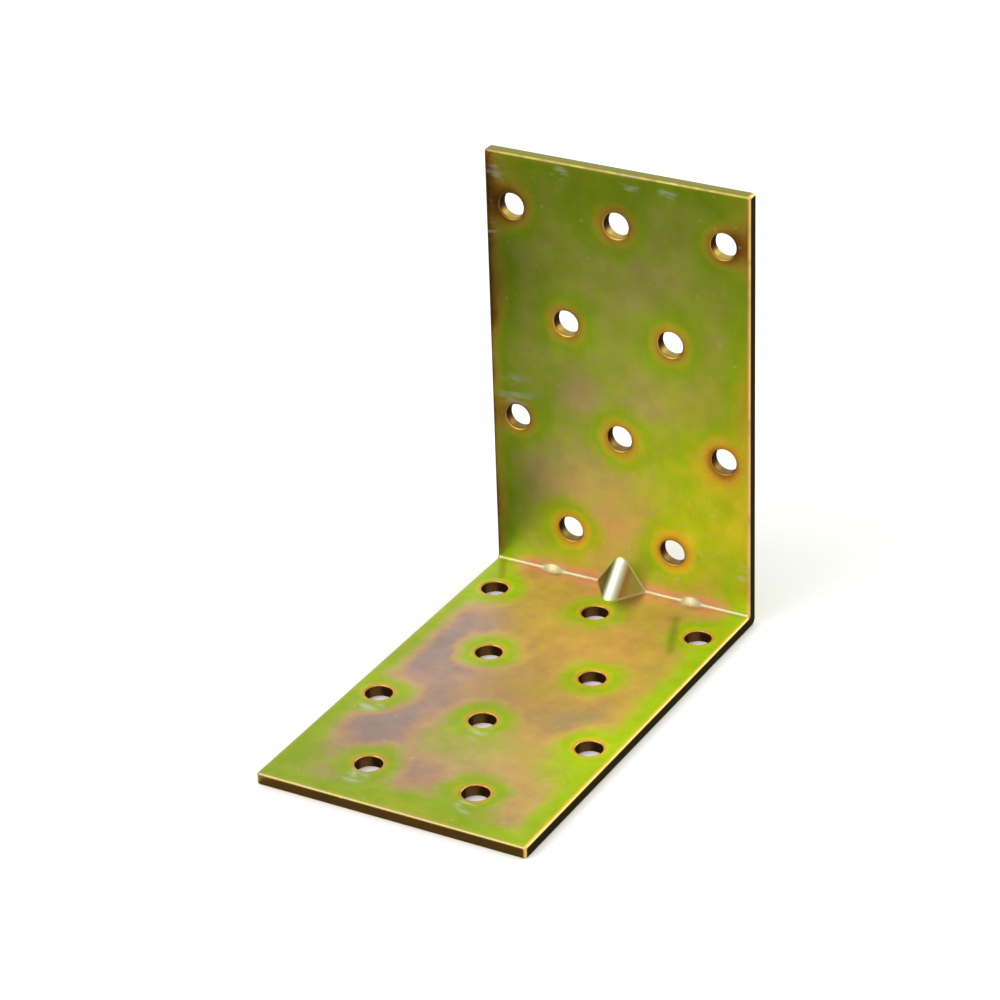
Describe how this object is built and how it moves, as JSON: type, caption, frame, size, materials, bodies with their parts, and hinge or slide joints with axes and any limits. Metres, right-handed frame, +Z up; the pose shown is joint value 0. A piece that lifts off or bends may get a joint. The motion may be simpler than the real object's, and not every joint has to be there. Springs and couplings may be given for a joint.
{
  "type": "perforated angle bracket",
  "caption": "Angle bracket folded from one steel strip, with staggered fixing holes in both legs and a pressed gusset in the bend.",
  "frame": {"origin": "under the middle of the base, on the plane that it stands on", "axes": "+X along the bend, +Y from the free end of the base to the back of the upright, +Z up the upright"},
  "size_m": [0.06, 0.0996, 0.0972],
  "materials": {
    "plated_steel": "zinc plated and yellow passivated: satin, iridescent from olive green to tan and mauve"
  },
  "bodies": {
    "root": {"corner_plate": "plated_steel"}
  },
  "joints": []
}
